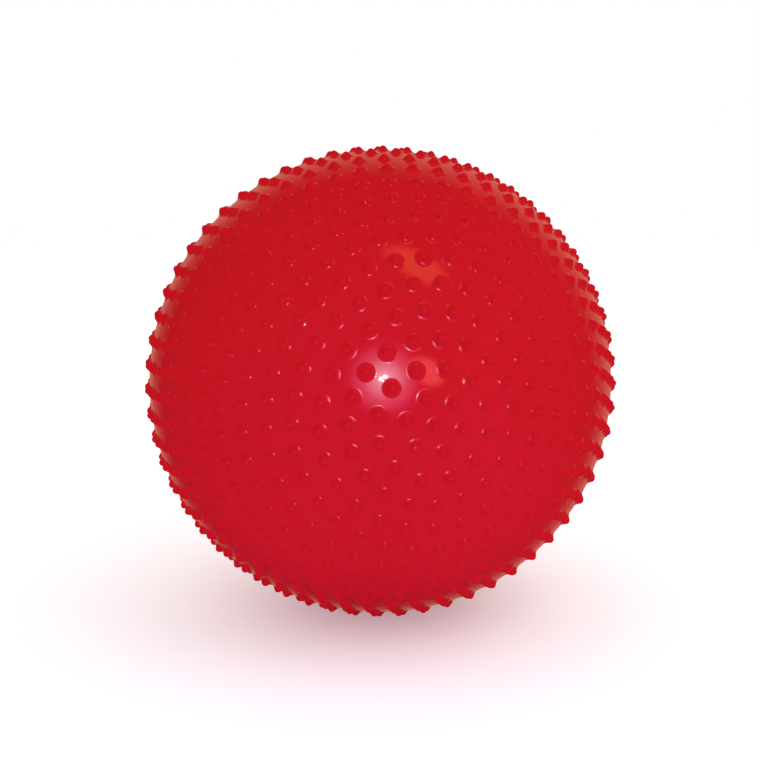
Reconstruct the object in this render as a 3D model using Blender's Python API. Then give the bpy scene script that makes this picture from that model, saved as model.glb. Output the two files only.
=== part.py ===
"""A knobbly inflatable exercise ball with its push-in air valve. Metres, +Z up.

The ball stands on z = 0 with its centre above the origin. It was moulded in two
halves about the Y axis: one pole of the mould faces -Y, and the valve sits in the
other pole, facing +Y. The knobs stand in rings about that axis, and the rings are
one knob spacing apart. The ball's own weight presses a few knobs flat underneath.
"""
import math

import bpy
from mathutils import Vector
from mathutils.geometry import delaunay_2d_cdt

# The shell.
SKIN_RADIUS = 0.3668
WALL = 0.0011
REST_HEIGHT = 0.3685            # the ball's centre above the floor
PRESSED_KNOB = 0.0079           # height of the knobs that stand on the floor

# The knobs. Ring number 0 is the pole, and the mould parts between the last rings.
KNOB_HEIGHT = 0.0082
KNOB_FOOT = 0.0120              # centre to corner of a knob's square foot
KNOB_CORNERS = 4
PRESSED_TOP = 0.0042            # centre to corner of a flattened knob's top
INNER_RINGS = 10
OUTER_RINGS = 4
RING_STEP = math.radians(6.0)           # from one inner ring to the next
OUTER_RING_STEP = math.radians(6.725)   # the outer rings are a little further apart
KNOBS_ROUND = 60                # as many as one ring round the equator would hold
RINGS_TURN = math.radians(18.0)         # where the even rings start, from +X towards +Z

# The rest of the mesh.
EQUATOR_POINTS = 58
INNER_RINGS_POLE_TO_POLE = 20

# The valve: a seat fused into the skin, and the plug that pushes into it. Depths are
# below the ball's radius.
VALVE_SEGMENTS = 24
HOLE_RADIUS = 0.0150            # the hole in the skin
GAP = 0.0003
LIP_RADIUS = 0.0220             # the seat's lip, under the skin
LIP_TOP = 0.0033
LIP_UNDERSIDE = 0.0055
FLARE_RADIUS = 0.0112           # where the lip's underside turns down into the tube
FLARE_TOP = 0.0065
FLARE_END = 0.0095
SEAT_TUBE_RADIUS = 0.0080
SEAT_END_RADIUS = 0.0075
SEAT_LENGTH = 0.0270
SEAT_BORE = 0.0048
RECESS_RADIUS = 0.0094
RECESS_DEPTH = 0.0026
PLUG_HEAD_RADIUS = 0.0089
PLUG_HEAD_THICKNESS = 0.0021
PLUG_HEAD_CHAMFER = 0.0006
PLUG_DISH = 0.0007              # depth of the dish in the head
PLUG_DISH_FLOOR = 0.0049
PLUG_DISH_RIM = 0.0062
PLUG_CORE = 0.0036
PLUG_RIB = 0.0045
PLUG_RIB_PITCH = 0.0042
PLUG_RIB_DROPS = (0.0006, 0.0012, 0.0028)   # a rib's crest and foot, below its top
FIRST_RIB = 0.0025              # below the head
PLUG_RIBS = 3
PLUG_LENGTH = 0.0195
PLUG_NOSE_LENGTH = 0.0040
PLUG_NOSE_RADIUS = 0.0020
SHARP_EDGE = math.radians(35)

CENTRE = Vector((0.0, 0.0, REST_HEIGHT))


def clear_scene():
    for old in list(bpy.data.objects):
        bpy.data.objects.remove(old, do_unlink=True)


def material(name, colour, roughness):
    made = bpy.data.materials.new(name)
    made.use_nodes = True
    shader = made.node_tree.nodes["Principled BSDF"]
    shader.inputs["Base Color"].default_value = (*colour, 1.0)
    shader.inputs["Roughness"].default_value = roughness
    return made


def add_object(name, verts, faces, surface):
    mesh = bpy.data.meshes.new(name)
    mesh.from_pydata(verts, [], faces)
    mesh.validate()
    mesh.materials.append(surface)
    made = bpy.data.objects.new(name, mesh)
    bpy.context.scene.collection.objects.link(made)
    return made


# ---- directions on the ball -------------------------------------------------

def direction(polar, turn, side):
    """A unit vector: polar is measured from the pole on that side (-1 front, +1 back)."""
    across = math.sin(polar)
    return Vector((across * math.cos(turn), side * math.cos(polar), across * math.sin(turn)))


def around(middle, spread):
    """Directions of the corners of a small square about the direction middle."""
    east = Vector((0.0, 1.0, 0.0)).cross(middle)
    if east.length < 1e-6:
        east = Vector((1.0, 0.0, 0.0))
    east.normalize()
    north = middle.cross(east)
    for corner in range(KNOB_CORNERS):
        turn = math.tau * (corner + 0.5) / KNOB_CORNERS
        sideways = east * math.cos(turn) + north * math.sin(turn)
        yield (middle * math.cos(spread) + sideways * math.sin(spread)).normalized()


def knob_directions(side):
    """The direction of each knob on one half. Odd rings start half a knob further on."""
    if side < 0:
        yield Vector((0.0, -1.0, 0.0))
    for ring in range(1, INNER_RINGS + OUTER_RINGS + 1):
        outer = max(0, ring - INNER_RINGS)
        polar = (ring - outer) * RING_STEP + outer * OUTER_RING_STEP
        count = round(KNOBS_ROUND * math.sin(polar))
        start = RINGS_TURN + (ring % 2) * math.pi / count
        for knob in range(count):
            yield direction(polar, start + math.tau * knob / count, side)


def rise(way):
    """How far the floor lifts the shell at this direction: the skin over the floor lies flat."""
    skin_height = REST_HEIGHT + SKIN_RADIUS * way.z
    return max(0.0, PRESSED_KNOB - skin_height)


def stands_on_floor(way):
    tip = REST_HEIGHT + (SKIN_RADIUS + KNOB_HEIGHT) * way.z
    return tip + rise(way) < 0.0


def place(way, radius):
    point = CENTRE + way * radius
    point.z += rise(way)
    return point


# ---- the skin ---------------------------------------------------------------

def flat_map(way, side):
    """Stereographic map of one half onto the unit disc, in which plane Delaunay is right."""
    depth = 1.0 + side * way.y
    return Vector((way.x / depth, way.z / depth))


def triangles(ways, side):
    """Delaunay triangles over directions on one half, facing outwards."""
    flat = [flat_map(way, side) for way in ways]
    found = delaunay_2d_cdt(flat, [], [], 0, 1e-9)
    names = [sources[0] for sources in found[3]]
    for face in found[2]:
        corners = [names[index] for index in face]
        a, b, c = (ways[index] for index in corners)
        if (b - a).cross(c - a).dot(a) < 0.0:
            corners.reverse()
        yield corners


class Shell:
    """The skin's vertices and faces, with points shared where the halves meet."""

    def __init__(self):
        self.verts = []
        self.faces = []

    def add(self, point):
        self.verts.append(point)
        return len(self.verts) - 1

    def ring(self, polar, side, count, radius):
        ways = [direction(polar, math.tau * i / count, side) for i in range(count)]
        return ways, [self.add(place(way, radius)) for way in ways]

    def half(self, side, ways, indices, hole, flip):
        """Triangulate one half. Faces between hole points only are left out."""
        for corners in triangles(ways, side):
            named = [indices[corner] for corner in corners]
            if all(index in hole for index in named):
                continue
            self.faces.append(named[::-1] if flip else named)


def knob_points(shell, way):
    """One knob's directions and vertices: a pyramid, or a flat-topped one on the floor."""
    ways = []
    indices = []
    if stands_on_floor(way):
        for corner in around(way, PRESSED_TOP / SKIN_RADIUS):
            top = place(corner, SKIN_RADIUS + KNOB_HEIGHT)
            top.z = 0.0
            ways.append(corner)
            indices.append(shell.add(top))
    else:
        ways.append(way)
        indices.append(shell.add(place(way, SKIN_RADIUS + KNOB_HEIGHT)))
    for corner in around(way, KNOB_FOOT / SKIN_RADIUS):
        ways.append(corner)
        indices.append(shell.add(place(corner, SKIN_RADIUS)))
    return ways, indices


def outer_surface(shell, hole_polar):
    rim_ways, rim = shell.ring(math.pi / 2, -1, EQUATOR_POINTS, SKIN_RADIUS)
    hole_ways, hole = shell.ring(hole_polar, 1, VALVE_SEGMENTS, SKIN_RADIUS)
    for side in (-1, 1):
        ways = list(rim_ways)
        indices = list(rim)
        if side > 0:
            ways += hole_ways
            indices += hole
        for knob in knob_directions(side):
            more_ways, more = knob_points(shell, knob)
            ways += more_ways
            indices += more
        shell.half(side, ways, indices, set(hole), flip=False)
    return hole


def inner_surface(shell, hole_polar):
    radius = SKIN_RADIUS - WALL
    step = math.pi / INNER_RINGS_POLE_TO_POLE
    equator = INNER_RINGS_POLE_TO_POLE // 2
    rim_ways, rim = shell.ring(math.pi / 2, -1, round(math.tau / step), radius)
    hole_ways, hole = shell.ring(hole_polar, 1, VALVE_SEGMENTS, radius)
    for side in (-1, 1):
        ways = list(rim_ways)
        indices = list(rim)
        if side > 0:
            ways += hole_ways
            indices += hole
        else:
            ways.append(Vector((0.0, -1.0, 0.0)))
            indices.append(shell.add(place(ways[-1], radius)))
        for ring in range(1, equator):
            count = round(math.tau * math.sin(ring * step) / step)
            more_ways, more = shell.ring(ring * step, side, count, radius)
            ways += more_ways
            indices += more
        shell.half(side, ways, indices, set(hole), flip=True)
    return hole


def make_skin(surface):
    shell = Shell()
    outer_hole = outer_surface(shell, math.asin(HOLE_RADIUS / SKIN_RADIUS))
    inner_hole = inner_surface(shell, math.asin(HOLE_RADIUS / (SKIN_RADIUS - WALL)))
    for i in range(VALVE_SEGMENTS):
        j = (i + 1) % VALVE_SEGMENTS
        shell.faces.append([outer_hole[i], inner_hole[i], inner_hole[j], outer_hole[j]])
    return add_object("ball_skin", shell.verts, shell.faces, surface)


# ---- the valve --------------------------------------------------------------

def turned(name, profile, surface, on_axis):
    """A solid turned about local Z from (radius, height) points, top outside first.

    on_axis closes both ends on the axis; otherwise the profile is a closed loop.
    """
    verts = []
    faces = []
    rings = []
    for radius, height in profile:
        if radius == 0.0:
            rings.append([len(verts)] * VALVE_SEGMENTS)
            verts.append((0.0, 0.0, height))
            continue
        rings.append(list(range(len(verts), len(verts) + VALVE_SEGMENTS)))
        for i in range(VALVE_SEGMENTS):
            turn = math.tau * i / VALVE_SEGMENTS
            verts.append((radius * math.cos(turn), radius * math.sin(turn), height))
    pairs = list(zip(rings, rings[1:]))
    if not on_axis:
        pairs.append((rings[-1], rings[0]))
    for upper, lower in pairs:
        for i in range(VALVE_SEGMENTS):
            j = (i + 1) % VALVE_SEGMENTS
            corners = [upper[i], lower[i], lower[j], upper[j]]
            faces.append(list(dict.fromkeys(corners)))
    made = add_object(name, verts, faces, surface)
    made.data.shade_smooth()
    made.data.set_sharp_from_angle(angle=SHARP_EDGE)
    return made


def make_seat(surface):
    """The valve seat: a flush face, a lip under the skin and a tube running inwards."""
    profile = [
        (RECESS_RADIUS, 0.0),
        (HOLE_RADIUS - GAP, 0.0),
        (HOLE_RADIUS - GAP, -LIP_TOP),
        (LIP_RADIUS, -LIP_TOP - GAP),
        (LIP_RADIUS, -LIP_UNDERSIDE),
        (FLARE_RADIUS, -FLARE_TOP),
        (SEAT_TUBE_RADIUS, -FLARE_END),
        (SEAT_END_RADIUS, -SEAT_LENGTH),
        (SEAT_BORE, -SEAT_LENGTH),
        (SEAT_BORE, -RECESS_DEPTH),
        (RECESS_RADIUS, -RECESS_DEPTH),
    ]
    return turned("valve_seat", profile, surface, on_axis=False)


def make_plug(surface):
    """The plug: a dished head and a stem with barbed ribs and a tapered nose."""
    head_under = -RECESS_DEPTH + GAP
    head_top = head_under + PLUG_HEAD_THICKNESS
    profile = [
        (0.0, head_top - PLUG_DISH),
        (PLUG_DISH_FLOOR, head_top - PLUG_DISH),
        (PLUG_DISH_RIM, head_top),
        (PLUG_HEAD_RADIUS - PLUG_HEAD_CHAMFER, head_top),
        (PLUG_HEAD_RADIUS, head_top - PLUG_HEAD_CHAMFER),
        (PLUG_HEAD_RADIUS, head_under),
        (PLUG_CORE, head_under),
    ]
    for rib in range(PLUG_RIBS):
        top = head_under - FIRST_RIB - PLUG_RIB_PITCH * rib
        crest, below_crest, foot = (top - drop for drop in PLUG_RIB_DROPS)
        profile += [
            (PLUG_CORE, top),
            (PLUG_RIB, crest),
            (PLUG_RIB, below_crest),
            (PLUG_CORE, foot),
        ]
    profile += [
        (PLUG_CORE, -PLUG_LENGTH + PLUG_NOSE_LENGTH),
        (PLUG_NOSE_RADIUS, -PLUG_LENGTH),
        (0.0, -PLUG_LENGTH),
    ]
    return turned("valve_plug", profile, surface, on_axis=True)


def main():
    clear_scene()
    vinyl = material("red_vinyl", (0.60, 0.012, 0.022), 0.30)
    seat_vinyl = material("valve_vinyl", (0.50, 0.010, 0.018), 0.38)
    plug_plastic = material("white_plastic", (0.82, 0.81, 0.78), 0.35)

    make_skin(vinyl)

    axis = bpy.data.objects.new("valve_axis", None)
    axis.location = CENTRE + Vector((0.0, SKIN_RADIUS, 0.0))
    axis.rotation_euler = (-math.pi / 2, 0.0, 0.0)
    bpy.context.scene.collection.objects.link(axis)
    for piece in (make_seat(seat_vinyl), make_plug(plug_plastic)):
        piece.parent = axis


main()
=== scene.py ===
"""A red knobbly exercise ball of soft vinyl, standing on a pale floor.

The frame gives the ball's centre, its knobs and its valve. This script makes the
fine skin round them and the valve's two pieces. Every knob is a cone with a rounded
tip and a wide fillet at its foot, and the few under the ball are pressed flat.
"""
import math

import bpy
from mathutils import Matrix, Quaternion, Vector
from mathutils.geometry import delaunay_2d_cdt


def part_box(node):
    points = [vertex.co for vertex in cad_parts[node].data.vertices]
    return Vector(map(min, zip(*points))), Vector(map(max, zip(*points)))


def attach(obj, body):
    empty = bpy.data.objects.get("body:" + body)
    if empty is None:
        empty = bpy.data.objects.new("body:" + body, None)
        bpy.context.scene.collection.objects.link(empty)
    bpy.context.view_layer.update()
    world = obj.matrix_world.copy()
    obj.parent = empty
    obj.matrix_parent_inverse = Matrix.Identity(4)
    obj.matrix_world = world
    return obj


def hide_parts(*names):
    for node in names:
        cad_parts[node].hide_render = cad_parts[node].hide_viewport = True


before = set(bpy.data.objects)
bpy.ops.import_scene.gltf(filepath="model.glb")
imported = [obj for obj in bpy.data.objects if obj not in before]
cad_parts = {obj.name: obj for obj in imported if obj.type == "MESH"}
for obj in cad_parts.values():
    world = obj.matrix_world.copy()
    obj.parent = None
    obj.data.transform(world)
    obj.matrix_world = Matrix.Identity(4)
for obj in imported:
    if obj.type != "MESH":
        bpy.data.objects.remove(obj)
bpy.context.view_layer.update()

# ---- sizes, in metres -------------------------------------------------------

SKIN_RADIUS = 0.3668
WALL = 0.0011
KNOB_HEIGHT = 0.0082
PRESSED_KNOB = 0.0079           # height of the knobs that the floor presses
PRESS_BLEND = 0.0015            # how gently the skin bends up round the floor patch
PRESSED_WIDTH = 0.0100          # a pressed knob's flat top is a little narrower than this

# A knob has a rounded tip, a steep conical side and a wide fillet into the skin.
KNOB_TIP = 0.0055
KNOB_SIDE = math.radians(50)
KNOB_FILLET = 0.0100
KNOB_SEGMENTS = 14
TIP_RINGS = 2
FILLET_RINGS = 3

SEAM_POINTS = 464               # the mould's parting line, round the equator
SEAM_HALF_WIDTH = 0.0009
SEAM_HEIGHT = 0.0003
INNER_RINGS = 36                # pole to pole

VALVE_SEGMENTS = 96
HOLE_RADIUS = 0.0150
COLLAR_RADIUS = 0.0205          # a low moulded collar round the valve
COLLAR_HEIGHT = 0.0007
COLLAR_STEPS = 6

# The valve seat. Depths are below the ball's radius.
SEAT_GAP = 0.0003               # between the seat and the skin round it
SEAT_EDGE = 0.0004              # the fillet on most of the seat's edges
RECESS_RADIUS = 0.0094
RECESS_DEPTH = 0.0026
LIP_TOP = 0.0033
LIP_UNDERSIDE = 0.0055
FLARE_TOP = 0.0065              # where the lip's underside turns down into the tube
FLARE_END = 0.0095
TUBE_RADIUS = 0.0080
TUBE_FLARE = 1.4                # of the tube's radius
TUBE_TAPER = 0.94
BORE_RADIUS = 0.0048

# The plug.
HEAD_THICKNESS = 0.0021
DISH_DEPTH = 0.0007
DISH_RING_DEPTH = 0.0003        # a low ring stands in the dish, this far below the rim
STEM_RADIUS = 0.0036
RIBS = 3
RIB_RADIUS = 0.0045
RIB_PITCH = 0.0042
FIRST_RIB = 0.6                 # of the pitch, below the head
RIB_CREST = 0.0006              # the crest's two edges and the foot, below the rib's top
RIB_CREST_END = 0.0012
RIB_FOOT = 0.0028
NOSE_LENGTH = 0.0040
NOSE_TAPER = 0.55               # of the stem's radius
SHARP_EDGE = math.radians(40)

FLOOR_RADIUS = 12.0
FLOOR_SIDES = 96

REST_HEIGHT = (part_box("valve_plug")[0].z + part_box("valve_plug")[1].z) / 2
CENTRE = Vector((0.0, 0.0, REST_HEIGHT))
UP = Vector((0.0, 0.0, 1.0))


# ---- shader nodes -----------------------------------------------------------

# A Mix node's sockets for colours, which share their names with those for numbers.
MIX_FIRST = 6
MIX_SECOND = 7
MIX_RESULT = 2


class Nodes:
    """A short way to write a material's node tree."""

    def __init__(self, name):
        self.material = bpy.data.materials.new(name)
        self.material.use_nodes = True
        self.tree = self.material.node_tree
        self.shader = self.tree.nodes["Principled BSDF"]

    def add(self, kind, **settings):
        node = self.tree.nodes.new(kind)
        for key, value in settings.items():
            setattr(node, key, value)
        return node

    def link(self, source, target):
        self.tree.links.new(source, target)

    def value(self, socket, number):
        self.shader.inputs[socket].default_value = number

    def noise(self, scale, detail=2.0, roughness=0.5):
        place = self.add("ShaderNodeTexCoord")
        made = self.add("ShaderNodeTexNoise")
        made.inputs["Scale"].default_value = scale
        made.inputs["Detail"].default_value = detail
        made.inputs["Roughness"].default_value = roughness
        self.link(place.outputs["Object"], made.inputs["Vector"])
        return made.outputs["Fac"]

    def spread(self, source, low, high, from_low=0.0, from_high=1.0):
        made = self.add("ShaderNodeMapRange")
        made.inputs["From Min"].default_value = from_low
        made.inputs["From Max"].default_value = from_high
        made.inputs["To Min"].default_value = low
        made.inputs["To Max"].default_value = high
        self.link(source, made.inputs["Value"])
        return made.outputs["Result"]

    def mix_number(self, factor, first, second):
        made = self.add("ShaderNodeMix", data_type="FLOAT")
        self.link(factor, made.inputs["Factor"])
        for socket, given in (("A", first), ("B", second)):
            if isinstance(given, float):
                made.inputs[socket].default_value = given
            else:
                self.link(given, made.inputs[socket])
        return made.outputs["Result"]

    def mix_colour(self, factor, first, second):
        made = self.add("ShaderNodeMix", data_type="RGBA")
        self.link(factor, made.inputs["Factor"])
        for socket, given in ((MIX_FIRST, first), (MIX_SECOND, second)):
            if isinstance(given, tuple):
                made.inputs[socket].default_value = (*given, 1.0)
            else:
                self.link(given, made.inputs[socket])
        return made.outputs[MIX_RESULT]

    def bump(self, height, distance, strength=1.0, under=None):
        made = self.add("ShaderNodeBump")
        made.inputs["Strength"].default_value = strength
        made.inputs["Distance"].default_value = distance
        self.link(height, made.inputs["Height"])
        if under is not None:
            self.link(under, made.inputs["Normal"])
        return made.outputs["Normal"]


def vinyl_material():
    """Glossy red PVC, a little darker and duller on the knobs."""
    nodes = Nodes("red_vinyl_fine")
    knob = nodes.add("ShaderNodeAttribute", attribute_name="knob").outputs["Fac"]
    patchy = nodes.spread(nodes.noise(4.0, 3.0), 0.0, 1.0, 0.35, 0.65)
    skin = nodes.mix_colour(patchy, (0.545, 0.0072, 0.0135), (0.562, 0.0079, 0.0152))
    # The knobs' colour is a touch darker than the skin's, blended in by the knob weight.
    knob_tone = nodes.mix_colour(patchy, (0.540, 0.0070, 0.0130), (0.556, 0.0077, 0.0146))
    nodes.link(nodes.mix_colour(knob, skin, knob_tone), nodes.shader.inputs["Base Color"])
    roughness = nodes.spread(nodes.noise(60.0, 3.0), 0.27, 0.33)
    nodes.link(nodes.mix_number(knob, roughness, 0.36), nodes.shader.inputs["Roughness"])
    nodes.link(nodes.spread(knob, 1.0, 0.12, 0.45, 1.0), nodes.shader.inputs["Coat Weight"])
    nodes.value("Specular IOR Level", 0.0)
    nodes.value("Coat Roughness", 0.035)
    nodes.value("Coat IOR", 1.5)
    nodes.value("IOR", 1.5)
    ripple = nodes.bump(nodes.noise(95.0, 1.0), 0.00010, 0.5)
    grain = nodes.bump(nodes.noise(900.0, 2.0), 0.00002, 0.4, ripple)
    nodes.link(grain, nodes.shader.inputs["Normal"])
    return nodes.material


def seat_material():
    """The valve seat's vinyl: softer and duller, with faint turning from its mould."""
    nodes = Nodes("valve_vinyl_fine")
    tint = nodes.spread(nodes.noise(180.0, 3.0), 0.0, 1.0, 0.3, 0.7)
    colour = nodes.mix_colour(tint, (0.46, 0.0075, 0.013), (0.53, 0.0100, 0.018))
    nodes.link(colour, nodes.shader.inputs["Base Color"])
    nodes.link(nodes.spread(nodes.noise(700.0, 3.0), 0.36, 0.48), nodes.shader.inputs["Roughness"])
    nodes.link(nodes.bump(nodes.noise(1400.0, 3.0), 0.00003, 0.5), nodes.shader.inputs["Normal"])
    return nodes.material


def plug_material():
    """Hard white plastic with a fine moulded grain."""
    nodes = Nodes("white_plastic_fine")
    tint = nodes.spread(nodes.noise(220.0, 3.0), 0.0, 1.0, 0.3, 0.7)
    colour = nodes.mix_colour(tint, (0.78, 0.77, 0.73), (0.84, 0.83, 0.80))
    nodes.link(colour, nodes.shader.inputs["Base Color"])
    nodes.link(nodes.spread(nodes.noise(900.0, 3.0), 0.30, 0.42), nodes.shader.inputs["Roughness"])
    nodes.value("Subsurface Weight", 0.15)
    nodes.value("Subsurface Scale", 0.002)
    nodes.link(nodes.bump(nodes.noise(2200.0, 2.0), 0.00002, 0.5), nodes.shader.inputs["Normal"])
    return nodes.material


def floor_material():
    """Matt and pale, with a slight glow of its own so that it stays light."""
    nodes = Nodes("pale_floor")
    tone = nodes.spread(nodes.noise(1.2, 2.0), 0.0, 1.0, 0.3, 0.7)
    colour = nodes.mix_colour(tone, (0.84, 0.84, 0.84), (0.86, 0.86, 0.86))
    nodes.link(colour, nodes.shader.inputs["Base Color"])
    nodes.value("Roughness", 0.7)
    nodes.value("Specular IOR Level", 0.2)
    nodes.value("Emission Color", (1.0, 0.98, 0.98, 1.0))
    nodes.value("Emission Strength", 0.28)
    return nodes.material


# ---- places on the ball -----------------------------------------------------

def knob_directions():
    """Each knob's direction from the ball's centre, read from the tips in the frame.

    Most tips are the points furthest out. The floor presses the others flat, and
    each of those has a square of points on the floor instead.
    """
    tips = {}
    pressed = []
    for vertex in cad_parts["ball_skin"].data.vertices:
        out = vertex.co - CENTRE
        if vertex.co.z < 0.1 * KNOB_HEIGHT:
            if all((vertex.co - seen).length > 1e-5 for seen in pressed):
                pressed.append(vertex.co.copy())
        elif out.length > SKIN_RADIUS + 0.7 * KNOB_HEIGHT:
            tips[tuple(round(number, 5) for number in out)] = out.normalized()
    ways = list(tips.values())
    while pressed:
        first = pressed.pop()
        group = [first] + [p for p in pressed if (p - first).length < PRESSED_WIDTH]
        pressed = [p for p in pressed if p not in group]
        ways.append(unpressed(sum(group, Vector()) / len(group)))
    return ways


def unpressed(point):
    """The direction of the skin that stood over a floor point before the ball's weight."""
    flat = Vector((point.x, point.y, 0.0))
    reach = SKIN_RADIUS + KNOB_HEIGHT
    return Vector((flat.x, flat.y, -math.sqrt(reach ** 2 - flat.length_squared))) / reach


def rise(way):
    """How far the floor lifts the shell at this direction, and how fast that grows."""
    over = PRESSED_KNOB - (REST_HEIGHT + SKIN_RADIUS * way.z)
    root = math.hypot(over, PRESS_BLEND)
    return (over + root) / 2, (1 + over / root) / 2


def place(way, radius, normal):
    """A point and its normal after the floor has lifted the shell there."""
    lift, growth = rise(way)
    point = CENTRE + way * radius + UP * lift
    slope = (UP - way * way.z) * (-growth * SKIN_RADIUS / radius)
    turned = (normal - slope * (normal.z / (1 + slope.z))).normalized()
    if point.z < 0.0:
        point.z = 0.0
        turned = -UP
    return point, turned


def sideways(middle):
    """Two unit vectors along the skin at this direction."""
    east = Vector((0.0, 1.0, 0.0)).cross(middle)
    if east.length < 1e-6:
        east = Vector((1.0, 0.0, 0.0))
    east.normalize()
    return east, middle.cross(east)


def direction(polar, turn, side):
    """A unit vector: polar is measured from the pole on that side (-1 front, +1 back)."""
    across = math.sin(polar)
    return Vector((across * math.cos(turn), side * math.cos(polar), across * math.sin(turn)))


# ---- the skin ---------------------------------------------------------------

class Skin:
    """Vertices with a normal and a knob weight each, and faces over them."""

    def __init__(self):
        self.points = []
        self.normals = []
        self.knob = []
        self.faces = []

    def add(self, way, radius, normal, knob=0.0):
        point, turned = place(way, radius, normal)
        self.points.append(point)
        self.normals.append(turned)
        self.knob.append(knob)
        return len(self.points) - 1

    def ring(self, polar, side, count, radius, inward=False, turn=0.0):
        ways = [direction(polar, math.tau * (i + turn) / count, side) for i in range(count)]
        return ways, [self.add(way, radius, -way if inward else way) for way in ways]

    def half(self, side, ways, indices, holes, flip=False):
        """Delaunay triangles over one half, leaving out those inside a hole's own ring."""
        owner = {index: number for number, hole in enumerate(holes) for index in hole}
        flat = [Vector((w.x, w.z)) / (1.0 + side * w.y) for w in ways]
        found = delaunay_2d_cdt(flat, [], [], 0, 1e-9)
        names = [sources[0] for sources in found[3]]
        for face in found[2]:
            corners = [names[index] for index in face]
            a, b, c = (ways[index] for index in corners)
            if ((b - a).cross(c - a).dot(a) < 0.0) != flip:
                corners.reverse()
            named = [indices[corner] for corner in corners]
            owners = {owner.get(index, -1) for index in named}
            if len(owners) > 1 or -1 in owners:
                self.faces.append(named)


def knob_profile():
    """(arc radius, height, slope, knob weight) outwards from the top, in rings."""
    rings = []
    for step in range(1, TIP_RINGS + 1):
        slope = KNOB_SIDE * step / TIP_RINGS
        height = KNOB_HEIGHT - KNOB_TIP * (1 - math.cos(slope))
        rings.append((KNOB_TIP * math.sin(slope), height, slope, 1.0))
    fillet_top = KNOB_FILLET * (1 - math.cos(KNOB_SIDE))
    foot = rings[-1][0] + (rings[-1][1] - fillet_top) / math.tan(KNOB_SIDE)
    for step in range(FILLET_RINGS + 1):
        slope = KNOB_SIDE * (1 - step / FILLET_RINGS)
        radius = foot + KNOB_FILLET * (math.sin(KNOB_SIDE) - math.sin(slope))
        weight = (1 - step / FILLET_RINGS) ** 2
        rings.append((radius, KNOB_FILLET * (1 - math.cos(slope)), slope, weight))
    return rings


def add_knob(skin, middle, profile):
    """One knob's faces. Returns the directions and vertices of its outermost ring."""
    east, north = sideways(middle)
    top = skin.add(middle, SKIN_RADIUS + KNOB_HEIGHT, middle, 1.0)
    inner = None
    for arc, height, slope, weight in profile:
        spread = arc / SKIN_RADIUS
        ways = []
        ring = []
        for i in range(KNOB_SEGMENTS):
            turn = math.tau * i / KNOB_SEGMENTS
            side = east * math.cos(turn) + north * math.sin(turn)
            way = middle * math.cos(spread) + side * math.sin(spread)
            outward = side * math.cos(spread) - middle * math.sin(spread)
            normal = way * math.cos(slope) + outward * math.sin(slope)
            ways.append(way)
            ring.append(skin.add(way, SKIN_RADIUS + height, normal, weight))
        for i in range(KNOB_SEGMENTS):
            j = (i + 1) % KNOB_SEGMENTS
            if inner is None:
                skin.faces.append([top, ring[i], ring[j]])
            else:
                skin.faces.append([inner[i], ring[i], ring[j], inner[j]])
        inner = ring
    return ways, inner


def add_seam(skin):
    """The parting line: a low ridge round the equator. Returns its two outer rings."""
    sides = {}
    _, crest = skin.ring(math.pi / 2, -1, SEAM_POINTS, SKIN_RADIUS + SEAM_HEIGHT)
    for side in (-1, 1):
        polar = math.pi / 2 - SEAM_HALF_WIDTH / SKIN_RADIUS
        ways, ring = skin.ring(polar, side, SEAM_POINTS, SKIN_RADIUS)
        sides[side] = (ways, ring)
        for i in range(SEAM_POINTS):
            j = (i + 1) % SEAM_POINTS
            corners = [crest[i], crest[j], ring[j], ring[i]]
            skin.faces.append(corners if side < 0 else corners[::-1])
    return sides


def add_collar(skin):
    """The low collar round the valve hole. Returns its outermost ring and the hole's edge."""
    width = COLLAR_RADIUS - HOLE_RADIUS
    last = None
    for step in range(COLLAR_STEPS + 1):
        part = step / COLLAR_STEPS
        radius = HOLE_RADIUS + width * part
        bulge = math.sin(math.pi * (0.5 + 0.5 * part)) ** 2
        height = COLLAR_HEIGHT * bulge
        slope = math.atan(
            COLLAR_HEIGHT * math.pi / 2 / width * abs(math.sin(math.pi * (1 + part)))
        )
        ways = []
        ring = []
        polar = math.asin(radius / SKIN_RADIUS)
        for i in range(VALVE_SEGMENTS):
            turn = math.tau * i / VALVE_SEGMENTS
            way = direction(polar, turn, 1)
            outward = Vector((math.cos(turn), 0.0, math.sin(turn)))
            normal = (way * math.cos(slope) + outward * math.sin(slope)).normalized()
            ways.append(way)
            ring.append(skin.add(way, SKIN_RADIUS + height, normal))
        if last is None:
            edge = ring
        else:
            for i in range(VALVE_SEGMENTS):
                j = (i + 1) % VALVE_SEGMENTS
                skin.faces.append([last[i], last[j], ring[j], ring[i]])
        last = ring
    return ways, last, edge


def add_lining(skin):
    """The inside of the shell. Returns the edge of its hole."""
    radius = SKIN_RADIUS - WALL
    step = math.pi / INNER_RINGS
    half = INNER_RINGS // 2
    rim_ways, rim = skin.ring(math.pi / 2, -1, round(math.tau / step), radius, inward=True)
    hole_polar = math.asin(HOLE_RADIUS / radius)
    hole_ways, hole = skin.ring(hole_polar, 1, VALVE_SEGMENTS, radius, inward=True)
    for side in (-1, 1):
        ways = list(rim_ways)
        indices = list(rim)
        if side > 0:
            ways += hole_ways
            indices += hole
        else:
            ways.append(Vector((0.0, -1.0, 0.0)))
            indices.append(skin.add(ways[-1], radius, -ways[-1]))
        for ring in range(1, half):
            count = round(math.tau * math.sin(ring * step) / step)
            more_ways, more = skin.ring(ring * step, side, count, radius, inward=True)
            ways += more_ways
            indices += more
        skin.half(side, ways, indices, [hole], flip=True)
    return hole


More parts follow.
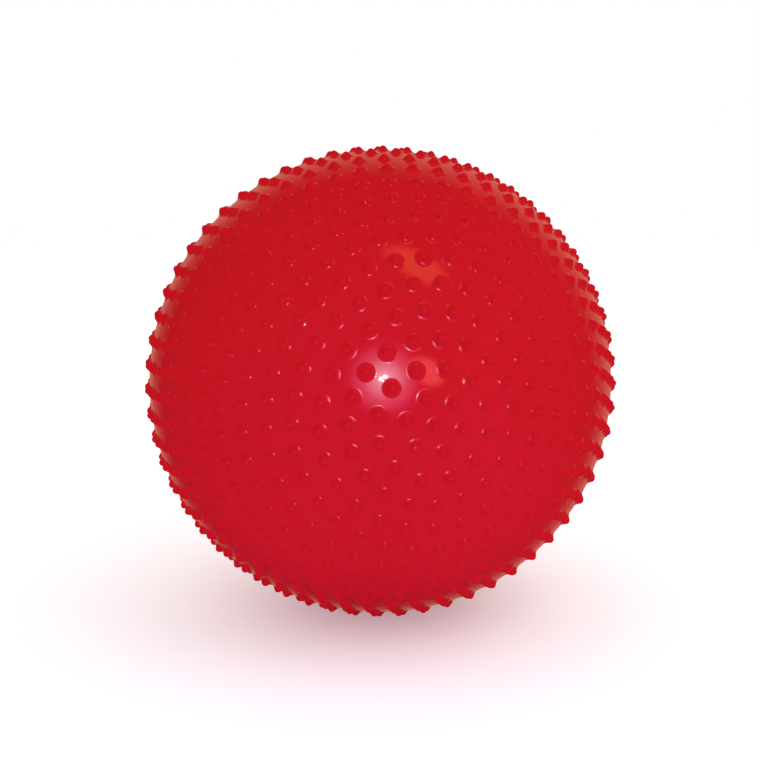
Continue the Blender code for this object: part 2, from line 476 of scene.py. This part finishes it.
def make_skin(surface):
    skin = Skin()
    profile = knob_profile()
    seam = add_seam(skin)
    collar_ways, collar, hole_edge = add_collar(skin)
    knobs = knob_directions()
    for side in (-1, 1):
        ways, indices = (list(given) for given in seam[side])
        holes = []
        if side > 0:
            ways += collar_ways
            indices += collar
            holes.append(collar)
        for middle in knobs:
            if middle.y * side > 0.0:
                rim_ways, rim = add_knob(skin, middle, profile)
                ways += rim_ways
                indices += rim
                holes.append(rim)
        skin.half(side, ways, indices, holes)
    lining_hole = add_lining(skin)
    for i in range(VALVE_SEGMENTS):
        j = (i + 1) % VALVE_SEGMENTS
        skin.faces.append([hole_edge[i], lining_hole[i], lining_hole[j], hole_edge[j]])

    mesh = bpy.data.meshes.new("inflated_skin")
    mesh.from_pydata(skin.points, [], skin.faces)
    weights = mesh.attributes.new("knob", "FLOAT", "POINT")
    weights.data.foreach_set("value", skin.knob)
    mesh.shade_smooth()
    mesh.normals_split_custom_set_from_vertices(skin.normals)
    mesh.materials.append(surface)
    return show(mesh, "ball", "ball_skin")


# ---- the valve --------------------------------------------------------------

def rounded(corners, steps=4):
    """A profile through (radius, height, fillet) corners, with each fillet as an arc."""
    points = []
    for i, (radius, height, fillet) in enumerate(corners):
        here = Vector((radius, height))
        if fillet == 0.0:
            points.append(here)
            continue
        before = Vector(corners[i - 1][:2]) - here
        after = Vector(corners[(i + 1) % len(corners)][:2]) - here
        start = here + before.normalized() * fillet
        end = here + after.normalized() * fillet
        for step in range(steps + 1):
            t = step / steps
            points.append(start * (1 - t) ** 2 + here * 2 * t * (1 - t) + end * t ** 2)
    return points


def turned_mesh(name, profile, closed_loop):
    """A solid turned about the valve's axis from (radius, height out of the ball) points."""
    verts = []
    rings = []
    for radius, height in profile:
        y = SKIN_RADIUS + height
        if radius < 1e-7:
            rings.append([len(verts)] * VALVE_SEGMENTS)
            verts.append((0.0, y, REST_HEIGHT))
            continue
        rings.append(list(range(len(verts), len(verts) + VALVE_SEGMENTS)))
        for i in range(VALVE_SEGMENTS):
            turn = math.tau * i / VALVE_SEGMENTS
            verts.append((radius * math.cos(turn), y, REST_HEIGHT + radius * math.sin(turn)))
    pairs = list(zip(rings, rings[1:]))
    if closed_loop:
        pairs.append((rings[-1], rings[0]))
    faces = []
    for upper, lower in pairs:
        for i in range(VALVE_SEGMENTS):
            j = (i + 1) % VALVE_SEGMENTS
            corners = [upper[i], upper[j], lower[j], lower[i]]
            faces.append(list(dict.fromkeys(corners)))
    mesh = bpy.data.meshes.new(name)
    mesh.from_pydata(verts, [], faces)
    mesh.shade_smooth()
    mesh.set_sharp_from_angle(angle=SHARP_EDGE)
    return mesh


def make_seat(surface):
    """The valve seat: a flush face, a lip under the skin and a tube running inwards."""
    low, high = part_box("valve_seat")
    lip = (high.x - low.x) / 2
    length = high.y - low.y
    face = HOLE_RADIUS - SEAT_GAP
    corners = [
        (RECESS_RADIUS, 0.0, SEAT_EDGE),
        (face, 0.0, SEAT_EDGE),
        (face, -LIP_TOP, 0.0),
        (lip, -LIP_TOP - SEAT_GAP, 0.0003),
        (lip, -LIP_UNDERSIDE, SEAT_EDGE),
        (TUBE_RADIUS * TUBE_FLARE, -FLARE_TOP, 0.0010),
        (TUBE_RADIUS, -FLARE_END, 0.0012),
        (TUBE_RADIUS * TUBE_TAPER, -length, 0.0006),
        (BORE_RADIUS, -length, SEAT_EDGE),
        (BORE_RADIUS, -RECESS_DEPTH, SEAT_EDGE),
        (RECESS_RADIUS, -RECESS_DEPTH, SEAT_EDGE),
    ]
    mesh = turned_mesh("valve_seat_fine", rounded(corners), closed_loop=True)
    mesh.materials.append(surface)
    return show(mesh, "ball", "valve_seat")


def make_plug(surface):
    """The plug: a dished head with a low ring in it, a ribbed stem and a tapered nose."""
    low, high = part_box("valve_plug")
    head = (high.x - low.x) / 2
    head_top = high.y - SKIN_RADIUS
    head_under = head_top - HEAD_THICKNESS
    dish = head_top - DISH_DEPTH
    dish_ring = head_top - DISH_RING_DEPTH
    tip = low.y - SKIN_RADIUS
    corners = [
        (0.0, dish, 0.0),
        (head * 0.22, dish, 0.0002),
        (head * 0.26, dish_ring, 0.0001),
        (head * 0.31, dish_ring, 0.0001),
        (head * 0.35, dish, 0.0002),
        (head * 0.62, dish, 0.0003),
        (head * 0.70, head_top, 0.0003),
        (head, head_top, 0.0006),
        (head, head_under, 0.0002),
        (STEM_RADIUS, head_under, 0.0003),
    ]
    for rib in range(RIBS):
        top = head_under - RIB_PITCH * (rib + FIRST_RIB)
        corners += [
            (STEM_RADIUS, top, 0.0001),
            (RIB_RADIUS, top - RIB_CREST, 0.0002),
            (RIB_RADIUS, top - RIB_CREST_END, 0.0003),
            (STEM_RADIUS, top - RIB_FOOT, 0.0003),
        ]
    corners += [
        (STEM_RADIUS, tip + NOSE_LENGTH, 0.0008),
        (STEM_RADIUS * NOSE_TAPER, tip, 0.0005),
        (0.0, tip, 0.0),
    ]
    mesh = turned_mesh("valve_plug_fine", rounded(corners), closed_loop=False)
    mesh.materials.append(surface)
    return show(mesh, "plug", "valve_plug")


def show(mesh, body, node):
    """Links a piece that stands for a CAD node, and lets it ride on its body."""
    piece = bpy.data.objects.new(mesh.name, mesh)
    bpy.context.scene.collection.objects.link(piece)
    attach(piece, body)
    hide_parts(node)
    return piece


# ---- stage, light and camera ------------------------------------------------

CAMERA_AZIMUTH = math.radians(-11.27)
CAMERA_ELEVATION = math.radians(9.42)
CAMERA_DISTANCE = 1.90
OUTLINE_RADIUS = 0.3035         # of the skin in the picture, as part of its width
CAMERA_SHIFT = (-0.0005, 0.0016)
CAMERA_REACH = 60.0             # how far it sees


def camera_axes():
    """Towards the camera, to its right and up, as seen from the ball."""
    flat = math.cos(CAMERA_ELEVATION)
    towards = Vector((
        math.sin(CAMERA_AZIMUTH) * flat,
        -math.cos(CAMERA_AZIMUTH) * flat,
        math.sin(CAMERA_ELEVATION),
    ))
    right = UP.cross(towards).normalized()
    return towards, right, towards.cross(right)


def make_camera():
    """A camera on the ball, with a lens that gives its skin OUTLINE_RADIUS."""
    towards, _, _ = camera_axes()
    camera = bpy.data.objects.new("camera", bpy.data.cameras.new("camera"))
    camera.location = CENTRE + towards * CAMERA_DISTANCE
    camera.rotation_euler = towards.to_track_quat("Z", "Y").to_euler()
    half_angle = math.asin(SKIN_RADIUS / CAMERA_DISTANCE)
    camera.data.lens = camera.data.sensor_width * OUTLINE_RADIUS / math.tan(half_angle)
    camera.data.shift_x, camera.data.shift_y = CAMERA_SHIFT
    camera.data.clip_end = CAMERA_REACH
    bpy.context.scene.collection.objects.link(camera)
    bpy.context.scene.camera = camera


def seen_from_ball(right_angle, up_angle):
    """A direction from the ball, in degrees to the right of the camera and above it."""
    towards, right, up = camera_axes()
    turn, lift = math.radians(right_angle), math.radians(up_angle)
    level = towards * math.cos(turn) + right * math.sin(turn)
    return level * math.cos(lift) + up * math.sin(lift)


def area_light(name, way, distance, size, radiance, colour, shape="RECTANGLE", tilt=0.0):
    """A light facing the ball from that direction. Radiance is in watts per square metre."""
    light = bpy.data.lights.new(name, "AREA")
    light.shape = shape
    light.size, light.size_y = size
    area = size[0] * size[1] * (math.pi / 4 if shape == "ELLIPSE" else 1.0)
    light.energy = radiance * math.pi * area
    light.color = colour
    lamp = bpy.data.objects.new(name, light)
    lamp.location = CENTRE + way * distance
    facing = way.to_track_quat("Z", "Y")
    lamp.rotation_euler = (facing @ Quaternion((0.0, 0.0, 1.0), tilt)).to_euler()
    bpy.context.scene.collection.objects.link(lamp)
    return lamp


def fade(lamp, stops):
    """Colours a light from its middle out, through (part of the way, colour) stops."""
    lamp.data.use_nodes = True
    tree = lamp.data.node_tree
    place = tree.nodes.new("ShaderNodeNewGeometry")
    out = tree.nodes.new("ShaderNodeVectorMath")
    out.operation = "DISTANCE"
    out.inputs[1].default_value = (0.5, 0.5, 0.0)
    tree.links.new(place.outputs["Parametric"], out.inputs[0])
    ramp = tree.nodes.new("ShaderNodeValToRGB")
    tree.links.new(out.outputs["Value"], ramp.inputs["Fac"])
    elements = ramp.color_ramp.elements
    for part, colour in stops[1:-1]:
        elements.new(part / 2).color = (*colour, 1.0)
    elements[0].color = (*stops[0][1], 1.0)
    elements[-1].position = stops[-1][0] / 2
    elements[-1].color = (*stops[-1][1], 1.0)
    tree.links.new(ramp.outputs["Color"], tree.nodes["Emission"].inputs["Color"])


WHITE = (1.0, 1.0, 1.0)
BLACK = (0.0, 0.0, 0.0)
SOFT_EDGE = ((0.0, WHITE), (0.55, (0.85, 0.85, 0.85)), (1.0, BLACK))
# The glow round the flash: pale at its heart, then rose, then crimson, then nothing.
GLOW = (
    (0.0, (0.4, 0.6, 0.7)),
    (0.2, (0.4, 0.3, 0.4)),
    (0.5, (0.24, 0.07, 0.13)),
    (0.8, (0.06, 0.005, 0.03)),
    (1.0, BLACK),
)


def make_lights():
    """The lights that the ball mirrors, and the two that only light it.

    It mirrors a flash of three small tubes in a soft glow beside the camera, and two
    warm panels. The fill and the bluish bounce from below don't show in the gloss.
    """
    mirrored = [
        area_light(
            "flash", seen_from_ball(right, up), distance=CAMERA_DISTANCE,
            size=(0.020, 0.010), radiance=3000.0, colour=WHITE,
        )
        for right, up in ((0.2, 0.9), (2.0, 1.9), (2.6, -0.2))
    ]
    glow = area_light(
        "glow", seen_from_ball(1.7, 0.9), distance=CAMERA_DISTANCE,
        size=(1.22, 1.22), radiance=15.0, colour=WHITE, shape="ELLIPSE",
    )
    fade(glow, GLOW)
    lamp = area_light(
        "warm_lamp", seen_from_ball(22.0, 50.0), distance=2.0,
        size=(1.15, 0.56), radiance=2.9, colour=(1.0, 0.25, 0.085), tilt=math.radians(-50),
    )
    fade(lamp, SOFT_EDGE)
    shade = area_light(
        "warm_shade", seen_from_ball(19.5, 4.0), distance=2.0,
        size=(0.66, 0.44), radiance=5.8, colour=(1.0, 0.19, 0.18), tilt=math.radians(-35),
    )
    fade(shade, SOFT_EDGE)
    for light in mirrored + [glow, lamp, shade]:
        light.visible_diffuse = False
    fill = area_light(
        "fill", seen_from_ball(50.0, 40.0), distance=3.0,
        size=(2.0, 2.0), radiance=0.9, colour=WHITE,
    )
    bounce = area_light(
        "bounce", seen_from_ball(0.0, -31.0), distance=0.95,
        size=(1.4, 0.5), radiance=2.2, colour=(0.05, 0.05, 1.0),
    )
    bounce.visible_camera = False
    for light in (fill, bounce):
        light.visible_glossy = False


# What the ball mirrors: a colour everywhere, and others that come in around a direction,
# each from the first cosine of the angle to it to the second.
MIRRORED_BASE = (0.01, 0.01, 0.01)
MIRRORED_SHADES = (
    (seen_from_ball(0.0, -75.0), 0.0, 0.8, (0.10, 0.01, 0.05)),
    (seen_from_ball(175.0, 12.0), 0.55, 0.95, (0.62, 0.24, 0.17)),
)


def make_world():
    """White all round to the eye. In a mirror: dark in front, salmon behind, dusky below."""
    world = bpy.data.worlds.new("studio")
    world.use_nodes = True
    world.cycles.sampling_method = "NONE"
    tree = world.node_tree
    place = tree.nodes.new("ShaderNodeTexCoord")
    colour = None
    for way, low, high, shade in MIRRORED_SHADES:
        facing = tree.nodes.new("ShaderNodeVectorMath")
        facing.operation = "DOT_PRODUCT"
        facing.inputs[1].default_value = way
        tree.links.new(place.outputs["Generated"], facing.inputs[0])
        ramp = tree.nodes.new("ShaderNodeMapRange")
        ramp.interpolation_type = "SMOOTHSTEP"
        ramp.inputs["From Min"].default_value = low
        ramp.inputs["From Max"].default_value = high
        tree.links.new(facing.outputs["Value"], ramp.inputs["Value"])
        mix = tree.nodes.new("ShaderNodeMix")
        mix.data_type = "RGBA"
        tree.links.new(ramp.outputs["Result"], mix.inputs["Factor"])
        if colour is None:
            mix.inputs[MIX_FIRST].default_value = (*MIRRORED_BASE, 1.0)
        else:
            tree.links.new(colour, mix.inputs[MIX_FIRST])
        mix.inputs[MIX_SECOND].default_value = (*shade, 1.0)
        colour = mix.outputs[MIX_RESULT]
    path = tree.nodes.new("ShaderNodeLightPath")
    seen = tree.nodes.new("ShaderNodeMix")
    seen.data_type = "RGBA"
    seen.inputs[MIX_FIRST].default_value = (*WHITE, 1.0)
    tree.links.new(path.outputs["Is Glossy Ray"], seen.inputs["Factor"])
    tree.links.new(colour, seen.inputs[MIX_SECOND])
    tree.links.new(seen.outputs[MIX_RESULT], tree.nodes["Background"].inputs["Color"])
    bpy.context.scene.world = world


def make_floor():
    """A wide round floor under the ball."""
    verts = [(0.0, 0.0, 0.0)]
    for i in range(FLOOR_SIDES):
        turn = math.tau * i / FLOOR_SIDES
        verts.append((FLOOR_RADIUS * math.cos(turn), FLOOR_RADIUS * math.sin(turn), 0.0))
    faces = [[0, i + 1, (i + 1) % FLOOR_SIDES + 1] for i in range(FLOOR_SIDES)]
    mesh = bpy.data.meshes.new("floor")
    mesh.from_pydata(verts, [], faces)
    mesh.materials.append(floor_material())
    floor = bpy.data.objects.new("floor", mesh)
    floor.visible_glossy = False
    bpy.context.scene.collection.objects.link(floor)


bpy.context.scene.view_settings.view_transform = "Standard"
make_skin(vinyl_material())
make_seat(seat_material())
make_plug(plug_material())
make_floor()
make_world()
make_lights()
make_camera()
